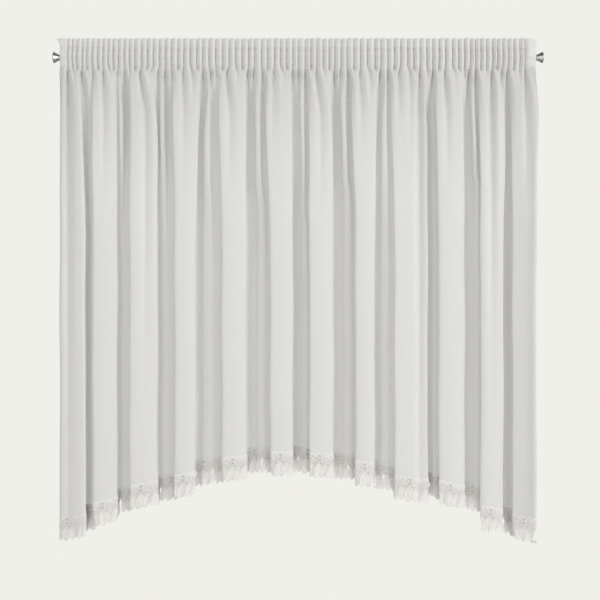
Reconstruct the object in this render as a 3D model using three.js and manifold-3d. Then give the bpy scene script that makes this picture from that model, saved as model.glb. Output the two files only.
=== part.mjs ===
// Sheer arched curtain with a gathered heading and a lace edge, as it hangs on its rod.
// Millimetres. +Z is up, +X is to the right seen from the room, and the room is on the -Y side.
// The origin is the middle of the rod, on its axis.

import * as THREE from "three";
import { mergeVertices } from "three/addons/utils/BufferGeometryUtils.js";
import Module from "manifold-3d";

const wasm = await Module();
wasm.setup();

// Driving dimensions of the cloth
const CLOTH_WIDTH = 3000; // flat width of the voile
const CLOTH_THICKNESS = 1;
const HUNG_HALF_WIDTH = 754; // half the width on the rod
const HEAD_TOP = 58; // top edge of the ruffle above the rod axis
const SIDE_DROP = 1542; // rod axis down to the lace tips at both sides
const ARCH_RISE = 209; // how much higher the hem hangs in the middle
const ARCH_POWER = 1.5; // 1 is a parabola, more flattens the arch towards the sides
const PIECE_GAP = 0.3; // clearance between fitted pieces
const HEM_GAP = 0.6; // clearance between the hem and the lace sewn under it

// Rod and its two trumpet ends
const ROD_RADIUS = 6.5;
const FINIAL_START = 752; // rod middle to the inner end of a trumpet
const FINIAL_BORE_DEPTH = 12;
const ROD_SIDES = 16;
const FINIAL_SIDES = 20;

// Heading: pencil pleats drawn up by a tape that makes the rod pocket
const TAPE_TOP = 32;
const TAPE_BOTTOM = -28;
const TAPE_THICKNESS = 1;
const TAPE_OFFSET = 3; // tape behind the voile along its stitch lines
const PLEAT_DEPTH = 16.4;
const PLEAT_BACK = 6.6; // how far behind the rod axis the pleats reach along the stitch lines
const POCKET_REACH = ROD_RADIUS + 2.1; // pleat line in front of and behind the rod axis
const HEAD_FLARE = 12; // left top corner of the ruffle sticks out sideways

// Groups of pleats from the left edge: where each group ends along the rod, and its pleats
const PLEAT_GROUPS = [
  { end: -523, pleats: 14 },
  { end: 567, pleats: 54 },
  { end: HUNG_HALF_WIDTH, pleats: 10 },
];

// Hanging folds from left to right. Each row is one front face: its left and right edge under
// the heading and at the hem, and the height of the tuck that stands in the hollow to its right
// just under the heading.
const FOLDS = [
  { topLeft: -754, topRight: -684, left: -754, right: -676, tuck: 8 },
  { topLeft: -654, topRight: -575, left: -651, right: -577, tuck: 12 },
  { topLeft: -536, topRight: -449, left: -537, right: -448, tuck: 24 },
  { topLeft: -399, topRight: -317, left: -393, right: -329, tuck: 30 },
  { topLeft: -253, topRight: -168, left: -244, right: -169, tuck: 32 },
  { topLeft: -103, topRight: -24, left: -89, right: -21, tuck: 32 },
  { topLeft: 33, topRight: 105, left: 35, right: 108, tuck: 32 },
  { topLeft: 171, topRight: 249, left: 179, right: 239, tuck: 26 },
  { topLeft: 294, topRight: 376, left: 301, right: 401, tuck: 28 },
  { topLeft: 442, topRight: 523, left: 442, right: 524, tuck: 24 },
  { topLeft: 574, topRight: 640, left: 578, right: 648, tuck: 20 },
  { topLeft: 680, topRight: 754, left: 683, right: 754, tuck: 0 },
];
const FRONT_RADIUS = 16; // round of a front face's edges
const HOLLOW_RADIUS = 12; // round at the bottom of a hollow
const FOLD_MEAN = 6; // middle of the folds in front of the rod axis

// Heights of the cloth under the heading: how much of the pleats is left there, how far the
// folds have opened out of the heading line, and how much of their upper form is left
const DROP_ROWS = [
  { height: -46, pleated: 0.5, opened: 0.3, upper: 1 },
  { height: -76, pleated: 0, opened: 0.6, upper: 1 },
  { height: -140, pleated: 0, opened: 0.86, upper: 0.88 },
  { height: -240, pleated: 0, opened: 0.97, upper: 0.6 },
  { height: -380, pleated: 0, opened: 1, upper: 0.28 },
  { height: -640, pleated: 0, opened: 1, upper: 0 },
];

// Lace edge: leaf-shaped petals between keyhole gaps, with an eyelet over every third petal
const LACE_HEIGHT = 78;
const LACE_THICKNESS = 1.6;
const PETALS = 117;
const PETALS_PER_EYELET = 3;
const FIRST_GAP = 0.75; // in petals from the left edge
const FIRST_EYELET = 1.25;
const EYELET_HEIGHT = 54; // above the lace's lower edge
const EYELET_HALF = 3.6;
const CUT_DEPTH = 8;
// Half-width of the gap between two petals at heights above the lace's lower edge
const GAP_OUTLINE = [
  { height: -4, half: 5.6 },
  { height: 18, half: 1.8 },
  { height: 31, half: 3.4 },
  { height: 40, half: 0 },
];

// Half a trumpet end as radius and distance along the rod, from the bore out to the domed face
const FINIAL_PROFILE = [
  { radius: 0, along: FINIAL_BORE_DEPTH },
  { radius: ROD_RADIUS + PIECE_GAP, along: FINIAL_BORE_DEPTH },
  { radius: ROD_RADIUS + PIECE_GAP, along: 0 },
  { radius: 7.8, along: 0 },
  { radius: 10.4, along: 10 },
  { radius: 13.6, along: 17 },
  { radius: 17.8, along: 24 },
  { radius: 18.2, along: 25.4 },
  { radius: 16, along: 28 },
  { radius: 9.5, along: 30.2 },
  { radius: 0, along: 31 },
];

const COLUMNS = 2 * PLEAT_GROUPS.reduce((sum, group) => sum + group.pleats, 0);
const COLUMN_CLOTH = CLOTH_WIDTH / COLUMNS;
const mix = THREE.MathUtils.lerp;

// Where each half pleat of the drawn-up heading stands along the rod.
function headingPlaces() {
  const places = [-HUNG_HALF_WIDTH];
  for (const { end, pleats } of PLEAT_GROUPS) {
    const start = places.at(-1);
    for (let half = 1; half <= 2 * pleats; half += 1) {
      places.push(mix(start, end, half / (2 * pleats)));
    }
  }
  return places;
}
const HEADING_X = headingPlaces();

// Column of cloth, as a fraction of columns, that lies at x in the drawn-up heading.
function columnAt(x) {
  const next = Math.max(1, HEADING_X.findIndex((place) => place >= x));
  const before = HEADING_X[next - 1];
  return next - 1 + (x - before) / (HEADING_X[next] - before);
}

// Height of the hem, where voile and lace meet, for a distance across the flat cloth.
function hemHeight(across) {
  const fromMiddle = (2 * across) / CLOTH_WIDTH - 1;
  const arch = Math.max(0, 1 - fromMiddle ** 2) ** ARCH_POWER;
  return -SIDE_DROP + LACE_HEIGHT + ARCH_RISE * arch;
}

// Plan of one fold as a path of x and distance into the room: up its left side, over the front
// face, down into the hollow and over the tuck there. The cloth in the fold sets its depth.
function foldPath(index, upper) {
  const fold = FOLDS[index];
  const next = FOLDS[index + 1];
  const left = mix(fold.left, fold.topLeft, upper);
  const right = mix(fold.right, fold.topRight, upper);
  const saved = 4 - Math.PI; // what a round corner saves, in radii
  const path = new THREE.Path();
  if (!next) {
    const cloth = (COLUMNS - columnAt(fold.left)) * COLUMN_CLOTH;
    const front = FOLD_MEAN + (cloth - (right - left) + saved * FRONT_RADIUS) / 2;
    path.moveTo(left, FOLD_MEAN);
    path.absarc(left + FRONT_RADIUS, front - FRONT_RADIUS, FRONT_RADIUS, Math.PI, Math.PI / 2, true);
    path.absarc(right - FRONT_RADIUS, front - FRONT_RADIUS, FRONT_RADIUS, Math.PI / 2, 0, true);
    path.lineTo(right, FOLD_MEAN);
    return path;
  }
  const end = mix(next.left, next.topLeft, upper);
  const tuck = fold.tuck * upper;
  const cloth = (columnAt(next.left) - columnAt(fold.left)) * COLUMN_CLOTH;
  const corners = saved * (FRONT_RADIUS + HOLLOW_RADIUS);
  const depth = (cloth - (end - left) + corners - 2 * tuck) / 2;
  const front = FOLD_MEAN + depth / 2;
  const back = FOLD_MEAN - depth / 2;
  const hollow = Math.min(HOLLOW_RADIUS, (end - right) / 2 - 1);
  const middle = (right + end) / 2;
  const spread = (end - right) / 2 - hollow;
  path.moveTo(left, FOLD_MEAN);
  path.absarc(left + FRONT_RADIUS, front - FRONT_RADIUS, FRONT_RADIUS, Math.PI, Math.PI / 2, true);
  path.absarc(right - FRONT_RADIUS, front - FRONT_RADIUS, FRONT_RADIUS, Math.PI / 2, 0, true);
  path.absarc(right + hollow, back + hollow, hollow, Math.PI, 1.5 * Math.PI, false);
  path.bezierCurveTo(middle - spread / 3, back, middle - spread / 2, back + tuck, middle, back + tuck);
  path.bezierCurveTo(middle + spread / 2, back + tuck, middle + spread / 3, back, end - hollow, back);
  path.absarc(end - hollow, back + hollow, hollow, 1.5 * Math.PI, 2 * Math.PI, false);
  path.lineTo(end, FOLD_MEAN);
  return path;
}

// Plan of the hanging folds at one height: a function from a distance across the flat cloth
// to x and y.
function hangingPlan(upper) {
  const starts = FOLDS.map((fold) => columnAt(fold.left));
  const ends = [...starts.slice(1), COLUMNS];
  const paths = FOLDS.map((_, index) => foldPath(index, upper));
  return (across) => {
    const column = across / COLUMN_CLOTH;
    const index = Math.max(0, starts.findLastIndex((start) => start <= column));
    const share = (column - starts[index]) / (ends[index] - starts[index]);
    const point = paths[index].getPointAt(THREE.MathUtils.clamp(share, 0, 1));
    return new THREE.Vector2(point.x, -point.y);
  };
}

// One half pleat of the drawn-up heading, with the pleats' back line at the given y.
function pleatPoint(column, backLine, depth = PLEAT_DEPTH) {
  const ridge = column % 2 === 0;
  return new THREE.Vector2(HEADING_X[column], ridge ? backLine - depth : backLine);
}

// Rows of mid-surface points from each row's height and plan.
function clothRow(columns, planAt, heightAt) {
  return columns.map((column) => {
    const { x, y } = planAt(column);
    return new THREE.Vector3(x, y, heightAt(column));
  });
}

// Closed solid of a sheet around rows of mid-surface points, the top row first. The offset to
// each side is mitred in plan, so both faces run parallel to the sheet.
function sheetSolid(rows, thickness) {
  const width = rows[0].length;
  const sideways = (line, j) => {
    const along = (a, b) => new THREE.Vector2(b.y - a.y, a.x - b.x).normalize();
    const before = along(line[Math.max(0, j - 1)], line[Math.max(1, j)]);
    const after = along(line[Math.min(width - 2, j)], line[Math.min(width - 1, j + 1)]);
    return before.clone().add(after).divideScalar(Math.max(0.4, 1 + before.dot(after)));
  };
  const positions = [];
  for (const side of [thickness / 2, -thickness / 2]) {
    for (const line of rows) {
      line.forEach((point, j) => {
        const normal = sideways(line, j);
        positions.push(point.x + side * normal.x, point.y + side * normal.y, point.z);
      });
    }
  }
  const back = rows.length * width;
  const indices = [];
  for (let i = 0; i + 1 < rows.length; i += 1) {
    for (let j = 0; j + 1 < width; j += 1) {
      const a = i * width + j;
      const [b, c, d] = [a + 1, a + width + 1, a + width];
      indices.push(a, d, c, a, c, b);
      indices.push(back + a, back + c, back + d, back + a, back + b, back + c);
    }
  }
  const rim = [];
  const last = rows.length - 1;
  for (let j = 0; j < width; j += 1) rim.push(j);
  for (let i = 1; i <= last; i += 1) rim.push(i * width + width - 1);
  for (let j = width - 2; j >= 0; j -= 1) rim.push(last * width + j);
  for (let i = last - 1; i >= 1; i -= 1) rim.push(i * width);
  rim.forEach((p, n) => {
    const q = rim[(n + 1) % rim.length];
    indices.push(p, q, back + q, p, back + q, back + p);
  });
  const geometry = new THREE.BufferGeometry();
  geometry.setAttribute("position", new THREE.Float32BufferAttribute(positions, 3));
  geometry.setIndex(indices);
  return geometry;
}

// Voile panel: ruffle, pleats over the rod, folds under it, and the arched hem.
function voileGeometry() {
  const columns = Array.from({ length: COLUMNS + 1 }, (_, column) => column);
  const heading = [
    { height: HEAD_TOP, backLine: PLEAT_BACK },
    { height: TAPE_TOP, backLine: PLEAT_BACK },
    { height: 0, backLine: -POCKET_REACH },
    { height: TAPE_BOTTOM, backLine: PLEAT_BACK },
  ];
  const rows = heading.map(({ height, backLine }) =>
    clothRow(columns, (column) => pleatPoint(column, backLine), () => height),
  );
  rows[0][0].x -= HEAD_FLARE;
  for (const { height, pleated, opened, upper } of DROP_ROWS) {
    const plan = hangingPlan(upper);
    const place = (column) => {
      const depth = pleated * PLEAT_DEPTH;
      const gathered = pleatPoint(column, PLEAT_BACK - (PLEAT_DEPTH - depth) / 2, depth);
      return gathered.lerp(plan(column * COLUMN_CLOTH), opened);
    };
    rows.push(clothRow(columns, place, () => height));
  }
  const hemPlan = hangingPlan(0);
  const across = (column) => column * COLUMN_CLOTH;
  rows.push(clothRow(columns, (c) => hemPlan(across(c)), (c) => hemHeight(across(c)) + HEM_GAP));
  return sheetSolid(rows, CLOTH_THICKNESS);
}

// Heading tape: pleated with the voile, sewn to its back above and below the rod, and passing
// behind the rod. It stops one half pleat short of the side hems.
function tapeGeometry() {
  const columns = Array.from({ length: COLUMNS - 1 }, (_, column) => column + 1);
  const lines = [
    { height: TAPE_TOP, backLine: PLEAT_BACK + TAPE_OFFSET },
    { height: 0, backLine: POCKET_REACH + PLEAT_DEPTH },
    { height: TAPE_BOTTOM, backLine: PLEAT_BACK + TAPE_OFFSET },
  ];
  const rows = lines.map(({ height, backLine }) =>
    clothRow(columns, (column) => pleatPoint(column, backLine), () => height),
  );
  return sheetSolid(rows, TAPE_THICKNESS);
}

// A closed geometry as a solid for cutting, and a solid as a geometry.
function toSolid(geometry) {
  const bare = new THREE.BufferGeometry();
  bare.setAttribute("position", geometry.getAttribute("position"));
  bare.setIndex(geometry.index);
  const merged = mergeVertices(bare);
  return new wasm.Manifold(
    new wasm.Mesh({
      numProp: 3,
      vertProperties: merged.getAttribute("position").array,
      triVerts: new Uint32Array(merged.index.array),
    }),
  );
}

function toGeometry(solid) {
  const mesh = solid.getMesh();
  const geometry = new THREE.BufferGeometry();
  geometry.setAttribute("position", new THREE.BufferAttribute(mesh.vertProperties, 3));
  geometry.setIndex(new THREE.BufferAttribute(mesh.triVerts, 1));
  return geometry;
}

// Keyhole gap between two petals, and the diamond eyelet, drawn above the lace's lower edge.
function gapShape() {
  const right = GAP_OUTLINE.map(({ height, half }) => new THREE.Vector2(half, height));
  const left = GAP_OUTLINE.slice(0, -1).map(({ height, half }) => new THREE.Vector2(-half, height));
  return new THREE.Shape([...right, ...left.reverse()]);
}

function eyeletShape() {
  return new THREE.Shape([
    new THREE.Vector2(EYELET_HALF, EYELET_HEIGHT),
    new THREE.Vector2(0, EYELET_HEIGHT + EYELET_HALF),
    new THREE.Vector2(-EYELET_HALF, EYELET_HEIGHT),
    new THREE.Vector2(0, EYELET_HEIGHT - EYELET_HALF),
  ]);
}

// Lace edge: a strip along the facets of the voile's hem, cut through between its petals and at
// its eyelets.
function laceGeometry() {
  const hanging = hangingPlan(0);
  const plan = (across) => {
    const column = Math.min(Math.floor(across / COLUMN_CLOTH), COLUMNS - 1);
    const next = hanging((column + 1) * COLUMN_CLOTH);
    return hanging(column * COLUMN_CLOTH).lerp(next, across / COLUMN_CLOTH - column);
  };
  const petal = CLOTH_WIDTH / PETALS;
  const columns = Array.from({ length: 2 * PETALS + 1 }, (_, half) => (half * petal) / 2);
  const top = clothRow(columns, plan, hemHeight);
  const bottom = clothRow(columns, plan, (across) => hemHeight(across) - LACE_HEIGHT);
  const strip = toSolid(sheetSolid([top, bottom], LACE_THICKNESS));

  const cutter = (shape, across) => {
    const half = Math.floor((2 * across) / petal);
    const [a, b] = [bottom[half], bottom[half + 1]];
    const along = new THREE.Vector3(b.x - a.x, b.y - a.y, 0).normalize();
    const up = new THREE.Vector3(0, 0, 1);
    const out = new THREE.Vector3().crossVectors(along, up);
    const place = new THREE.Matrix4().makeBasis(along, up, out);
    place.setPosition(a.clone().lerp(b, 0.5));
    const geometry = new THREE.ExtrudeGeometry(shape, { depth: CUT_DEPTH, bevelEnabled: false });
    geometry.translate(0, 0, -CUT_DEPTH / 2);
    return toSolid(geometry.applyMatrix4(place));
  };

  const cutters = [];
  for (let gap = FIRST_GAP; gap < PETALS - 1; gap += 1) {
    cutters.push(cutter(gapShape(), gap * petal));
  }
  for (let eyelet = FIRST_EYELET; eyelet < PETALS; eyelet += PETALS_PER_EYELET) {
    cutters.push(cutter(eyeletShape(), eyelet * petal));
  }
  return toGeometry(strip.subtract(wasm.Manifold.union(cutters)));
}

// Rod, and a trumpet end that caps it.
function rodGeometry() {
  const length = 2 * (FINIAL_START + FINIAL_BORE_DEPTH - PIECE_GAP);
  return new THREE.CylinderGeometry(ROD_RADIUS, ROD_RADIUS, length, ROD_SIDES);
}

function finialGeometry() {
  const profile = FINIAL_PROFILE.map(({ radius, along }) => new THREE.Vector2(radius, along));
  return new THREE.LatheGeometry(profile, FINIAL_SIDES);
}

function piece(name, geometry, material) {
  const mesh = new THREE.Mesh(geometry, material);
  mesh.name = name;
  return mesh;
}

const voile = new THREE.MeshStandardMaterial({ color: 0xe6e5e1, roughness: 0.85, side: THREE.DoubleSide });
const tape = new THREE.MeshStandardMaterial({ color: 0xeeede9, roughness: 0.9 });
const lace = new THREE.MeshStandardMaterial({ color: 0xf0efeb, roughness: 0.9 });
const nickel = new THREE.MeshStandardMaterial({ color: 0xb8b6b2, roughness: 0.22, metalness: 1 });

const curtain = new THREE.Group();
curtain.add(piece("voile_panel", voileGeometry(), voile));
curtain.add(piece("heading_tape", tapeGeometry(), tape));
curtain.add(piece("lace_edge", laceGeometry(), lace));

const rod = piece("rod", rodGeometry(), nickel);
rod.rotation.z = Math.PI / 2;
curtain.add(rod);
for (const { name, side } of [{ name: "finial_left", side: -1 }, { name: "finial_right", side: 1 }]) {
  const finial = piece(name, finialGeometry(), nickel);
  finial.rotation.z = (-side * Math.PI) / 2;
  finial.position.x = side * FINIAL_START;
  curtain.add(finial);
}

export default curtain;
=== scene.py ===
import math

import bpy
import numpy as np
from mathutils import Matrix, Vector


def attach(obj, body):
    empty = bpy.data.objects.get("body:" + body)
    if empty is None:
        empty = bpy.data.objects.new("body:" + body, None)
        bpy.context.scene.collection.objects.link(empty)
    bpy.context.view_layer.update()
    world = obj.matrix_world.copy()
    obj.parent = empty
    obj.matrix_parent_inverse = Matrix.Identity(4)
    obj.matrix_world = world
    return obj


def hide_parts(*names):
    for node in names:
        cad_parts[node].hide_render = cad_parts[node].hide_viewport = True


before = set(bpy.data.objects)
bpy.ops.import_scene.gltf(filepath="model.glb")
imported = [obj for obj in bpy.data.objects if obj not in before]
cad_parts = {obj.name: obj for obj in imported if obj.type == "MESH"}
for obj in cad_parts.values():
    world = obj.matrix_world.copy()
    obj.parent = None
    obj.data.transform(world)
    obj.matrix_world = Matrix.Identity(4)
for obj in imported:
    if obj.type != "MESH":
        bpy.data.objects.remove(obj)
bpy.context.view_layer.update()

# Rod.
# A slim nickel-plated steel tube, 13 mm across, that runs through the pocket of the heading.
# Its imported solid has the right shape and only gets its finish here.
NICKEL_TONE = (0.66, 0.65, 0.63)
NICKEL_POLISH = 0.10  # roughness of the brightest plate
DULL_PATCHES = 0.09  # how much rougher the dullest patches are
DEEP_PATCHES = 0.9  # share of the tone in the brightest patches
PATCH_RANGE = (0.3, 0.7)  # values of the noise from the brightest to the dullest patches


def new_material(name):
    """A new material, its node tree and its main shader."""
    material = bpy.data.materials.new(name)
    material.use_nodes = True
    tree = material.node_tree
    return material, tree, tree.nodes["Principled BSDF"]


def set_inputs(tree, node, inputs):
    """Gives a node its inputs, which are plain values or outputs of other nodes."""
    for name, value in inputs.items():
        if isinstance(value, bpy.types.NodeSocket):
            tree.links.new(value, node.inputs[name])
        else:
            node.inputs[name].default_value = value


def add_node(tree, kind, inputs, **settings):
    """Adds a node with its settings and inputs to a tree, and returns its outputs."""
    node = tree.nodes.new(kind)
    for name, value in settings.items():
        setattr(node, name, value)
    set_inputs(tree, node, inputs)
    return node.outputs


def add_ramp(tree, factor, stops):
    """A colour ramp through two or more stops of position and colour, in rising order."""
    ramp = tree.nodes.new("ShaderNodeValToRGB")
    marks = ramp.color_ramp.elements
    marks[0].position = stops[0][0]
    marks[1].position = stops[-1][0]
    for position, colour in stops[1:-1]:
        marks.new(position)
    for mark, (position, colour) in zip(marks, stops):
        mark.color = (*colour, 1)
    set_inputs(tree, ramp, {"Fac": factor})
    return ramp.outputs["Color"]


def nickel_plate(name):
    """Bright plate with faint drawing lines round the metal and soft patches of wear."""
    material, tree, shader = new_material(name)
    place = add_node(tree, "ShaderNodeTexCoord", {})["Object"]
    patches = add_node(tree, "ShaderNodeTexNoise", {"Vector": place, "Scale": 90.0, "Detail": 4.0})["Fac"]
    shine = add_node(tree, "ShaderNodeMapRange", {
        "Value": patches, "From Min": PATCH_RANGE[0], "From Max": PATCH_RANGE[1],
        "To Min": NICKEL_POLISH, "To Max": NICKEL_POLISH + DULL_PATCHES,
    })
    deep = [part * DEEP_PATCHES for part in NICKEL_TONE]
    colour = add_ramp(tree, patches, [(PATCH_RANGE[0], deep), (PATCH_RANGE[1], NICKEL_TONE)])
    drawn = add_node(tree, "ShaderNodeMapping", {"Vector": place, "Scale": (2600.0, 60.0, 60.0)})
    lines = add_node(tree, "ShaderNodeTexNoise", {"Vector": drawn["Vector"], "Scale": 1.0, "Detail": 2.0})
    bump = add_node(tree, "ShaderNodeBump", {"Height": lines["Fac"], "Strength": 0.06, "Distance": 0.0002})
    set_inputs(tree, shader, {
        "Metallic": 1.0, "Roughness": shine["Result"], "Base Color": colour, "Normal": bump["Normal"],
    })
    return material


nickel = nickel_plate("polished nickel")
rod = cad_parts["rod"]
rod.data.materials.clear()
rod.data.materials.append(nickel)

# Trumpet ends.
# Turned nickel-plated caps pushed over the ends of the rod. Each opens from a narrow neck to
# a wide rim with a low domed face, and is bored to take the tube.
MM = 0.001
TRUMPET_START = 752.0
TRUMPET_ROUND = 72
TRUMPET_PROFILE = [  # radius and distance along the rod, from the bore to the domed face
    (0.0, 12.0), (6.6, 12.0), (6.8, 11.8), (6.8, 0.5), (7.1, 0.0), (7.5, 0.0), (7.8, 0.4),
    (8.0, 2.0), (8.5, 4.5), (9.3, 7.5), (10.4, 10.6), (11.9, 14.0), (13.6, 17.2),
    (15.5, 20.4), (17.3, 23.2), (17.9, 24.2), (18.2, 25.0), (18.15, 25.8), (17.7, 26.5),
    (16.6, 27.5), (14.6, 28.7), (12.0, 29.7), (8.6, 30.5), (4.6, 30.9), (0.0, 31.0),
]
TRUMPET_CRISP = 50.0  # degrees past which an edge of the turned caps stays crisp


def mesh_piece(name, points, faces, material):
    """A new smooth object from points in millimetres and its faces."""
    mesh = bpy.data.meshes.new(name)
    mesh.from_pydata((np.asarray(points, float) * MM).tolist(), [], faces)
    mesh.materials.append(material)
    mesh.polygons.foreach_set("use_smooth", [True] * len(mesh.polygons))
    mesh.update()
    piece = bpy.data.objects.new(name, mesh)
    bpy.context.scene.collection.objects.link(piece)
    return piece


def turned(profile, side):
    """Points and faces of a profile turned about the rod, towards one end of it."""
    points, faces, rings = [], [], []
    for radius, along in profile:
        x = side * (TRUMPET_START + along)
        count = 1 if radius == 0 else TRUMPET_ROUND
        rings.append([len(points) + n for n in range(count)])
        for n in range(count):
            turn = 2 * math.pi * n / TRUMPET_ROUND
            points.append((x, radius * math.cos(turn), side * radius * math.sin(turn)))
    for low, high in zip(rings, rings[1:]):
        for n in range(TRUMPET_ROUND):
            m = (n + 1) % TRUMPET_ROUND
            if len(low) == 1:
                faces.append((low[0], high[m], high[n]))
            elif len(high) == 1:
                faces.append((low[n], low[m], high[0]))
            else:
                faces.append((low[n], low[m], high[m], high[n]))
    return points, faces


for side, node in ((-1, "finial_left"), (1, "finial_right")):
    trumpet = mesh_piece(node.replace("finial", "trumpet"), *turned(TRUMPET_PROFILE, side), nickel)
    trumpet.data.set_sharp_from_angle(angle=math.radians(TRUMPET_CRISP))
    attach(trumpet, "root")
    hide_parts(node)

# Voile panel.
# One width of fine sheer polyester voile, 3 m flat, with a ruffle and pencil pleats at the top,
# soft uneven folds below and an arched lower edge. It is sewn to the tape along its heading.
CLOTH_WIDTH = 3000.0
CLOTH_STEP = 2.0  # steps along the flat cloth in which the folds are worked out
HEAD_TOP = 61.0
TAPE_TOP = 32.0
TAPE_BOTTOM = -28.0
SIDE_DROP = 1542.0
ARCH_RISE = 209.0
ARCH_POWER = 1.5  # how soon the arch leaves the level of the sides
LACE_HEIGHT = 78.0
LEFT_EDGE = -758.0
RIGHT_EDGE = 754.0
VOILE_THICKNESS = 0.4
VOILE_TONES = ((0.914, 0.912, 0.907, 1), (0.935, 0.933, 0.928, 1))
RIM_ANGLE = 75.0  # the cut edges stay crisp, the folds stay soft

# Sizes of the pleats and of the creases that run down from them. Heights are from the rod.
PLEATS = 78
PLEAT_CLOTH = CLOTH_WIDTH / PLEATS
PLEAT_DEPTH = 14.5
PLEAT_BACK = 0.5  # y of the grooves at the stitch lines
POCKET_SWELL = 8.4  # how far the pleats stand out over the rod
SWELL_REACH = 31.0  # height above and below the rod at which they no longer do
COLUMN_PHASES = [0.0, 0.07, 0.18, 0.40, 0.62, 0.82, 0.94, 1.0]  # columns across one pleat
PLEAT_COLUMNS = len(COLUMN_PHASES) - 1
LEAVE_LEVEL = -20.0  # where the creases begin to leave the lines of the pleats
BELOW_LEVEL = -56.0  # where they have left the heading
LOW_LEVEL = -186.0  # where they run straight
CREASE_DEPTH = 27.0
CREASE_FADE = 1.6  # how fast a crease gets shallower on its way down
FULL_CREASE = 130.0  # length below the heading from which a crease has its whole depth
SHORT_CREASE = 0.2  # share of the depth that the shortest creases have
POCKET_DEPTH = 8.5  # depth, height and half height of the dimple under a groove that ends
POCKET_LEVEL = -35.0
POCKET_HALF = 6.0
SIDE_END = -50.0  # where the turn of the left side edge ends
LEFT_END = 0.8  # share of a groove by which the left end of the heading turns back
LEFT_REACH = 11.0  # how much wider that turn is than a groove's slope
SLOT_WIDTH = (2.4, 7.5, 60.0)  # in the heading, more far down, and the drop for half of that
SLOPE_WIDTH = (13.0, 13.0, 25.0)  # the same for the long slope
SLOPE_RIGHT = (4.5, 500.0)  # how much shorter the slopes get towards the right, and up to where
SLOT_SHARE = 0.3  # share of the narrow slot in the right side of a groove
# One row a groove: x in the heading, just below it and lower down, the height where it fades out,
# and its share of the depth. A groove with no share ends just below the tape.
CREASES = [
    (-733, -735, -730, -1900, 0.9), (-719, -713, -713, -107, 0.5), (-705, -705, -705, -50, 0),
    (-687, -691, -675, -240, 0.9), (-673, -673, -673, -48, 0), (-656, -653, -656, -177, 0.6),
    (-638, -638, -638, -50, 0), (-621, -621, -616, -487, 0.7), (-605, -599, -599, -100, 0.5),
    (-589, -589, -589, -48, 0), (-572, -577, -570, -170, 0.6), (-554, -554, -550, -390, 0.8),
    (-537, -535, -535, -100, 0.7), (-520, -520, -520, -55, 0), (-499, -504, -484, -1200, 0.75),
    (-480, -480, -480, -48, 0), (-461, -472, -472, -126, 0.5), (-442, -447, -444, -250, 0.6),
    (-423, -425, -420, -520, 0.8), (-404, -402, -402, -155, 0.7), (-383, -383, -383, -52, 0),
    (-364, -367, -363, -471, 0.6), (-344, -336, -336, -170, 0.4), (-323, -323, -323, -52, 0),
    (-304, -304, -310, -330, 0.9), (-284, -279, -272, -330, 0.8), (-263, -260, -260, -139, 0.7),
    (-241, -241, -241, -52, 0), (-220, -228, -217, -471, 0.7), (-200, -193, -193, -107, 0.4),
    (-179, -179, -179, -48, 0), (-158, -162, -155, -330, 0.9), (-139, -143, -143, -164, 0.7),
    (-117, -114, -110, -330, 0.8), (-98, -98, -98, -54, 0), (-76, -79, -82, -329, 0.6),
    (-57, -48, -48, -123, 0.4), (-38, -38, -38, -48, 0), (-17, -19, -11, -330, 0.9),
    (0, 0, 0, -164, 0.8), (22, 22, 25, -330, 0.9), (40, 40, 40, -52, 0),
    (59, 57, 71, -560, 0.7), (79, 82, 82, -91, 0.5), (98, 98, 98, -48, 0),
    (116, 114, 120, -330, 0.9), (136, 133, 133, -164, 0.8), (155, 158, 162, -330, 0.9),
    (177, 177, 177, -52, 0), (198, 196, 199, -345, 0.6), (220, 228, 228, -170, 0.4),
    (244, 244, 244, -52, 0), (263, 260, 253, -330, 1.0), (285, 285, 287, -330, 0.9),
    (306, 306, 306, -52, 0), (326, 320, 317, -265, 0.6), (348, 355, 354, -345, 0.4),
    (367, 367, 367, -52, 0), (388, 386, 383, -2400, 0.85), (409, 412, 412, -140, 0.4),
    (428, 428, 417, -330, 0.95), (448, 448, 448, -52, 0), (469, 466, 470, -471, 0.7),
    (491, 497, 497, -123, 0.4), (510, 510, 510, -52, 0), (529, 529, 529, -123, 0.5),
    (548, 542, 537, -330, 0.95), (564, 564, 567, -330, 0.9), (581, 581, 581, -52, 0),
    (599, 599, 599, -82, 0.6), (618, 615, 612, -1300, 0.9), (634, 634, 634, -52, 0),
    (651, 646, 651, -392, 0.7), (668, 665, 671, -330, 0.95), (686, 686, 686, -52, 0),
    (705, 703, 703, -113, 0.5), (721, 722, 724, -503, 0.8),
]

# Sizes of the folds, with distances into the room. The upper shape gives way to the lower one.
# One row a fold: left and right side of its front, at the top and lower down. Then come the start,
# end and height of the ridge in the hollow after it, as shares, and the hollow's greatest depth.
FOLDS = [
    (-758, -689, -758, -671, 0.45, 0.75, 0.35, 54), (-652, -569, -650, -572, -0.02, 0.42, 0.75, 52),
    (-533, -443, -533, -444, 0.02, 0.45, 0.75, 55), (-402, -301, -391, -325, 0.18, 0.58, 0.80, 64),
    (-258, -161, -242, -164, 0.40, 0.78, 0.80, 64), (-115, -19, -89, -16, 0.47, 0.85, 0.80, 60),
    (29, 108, 35, 112, 0.40, 0.80, 0.85, 64), (160, 260, 180, 243, 0.22, 0.75, 0.85, 60),
    (286, 411, 304, 411, 0.30, 0.60, 0.00, 54), (431, 525, 443, 528, 0.50, 0.92, 0.85, 54),
    (569, 668, 575, 650, 0.30, 0.60, -0.50, 100), (674, 770, 680, 754, 0.30, 0.60, 0.00, 44),
]
HEM_LIFT = [  # how far each front and the hollow after it hang above the even arch
    (0, 14), (14, 17), (13, 0), (-8, 10), (6, 16), (3, 13),
    (0, 2), (-5, 0), (-19, 11), (9, 28), (-14, -4), (-4, -4),
]
HEM_INSET = 5.0  # where a front's own lift begins, from its two sides
HOLLOW_SPAN = (0.4, 0.75)  # part of the other cloth of a fold that has the hollow's lift
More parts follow.
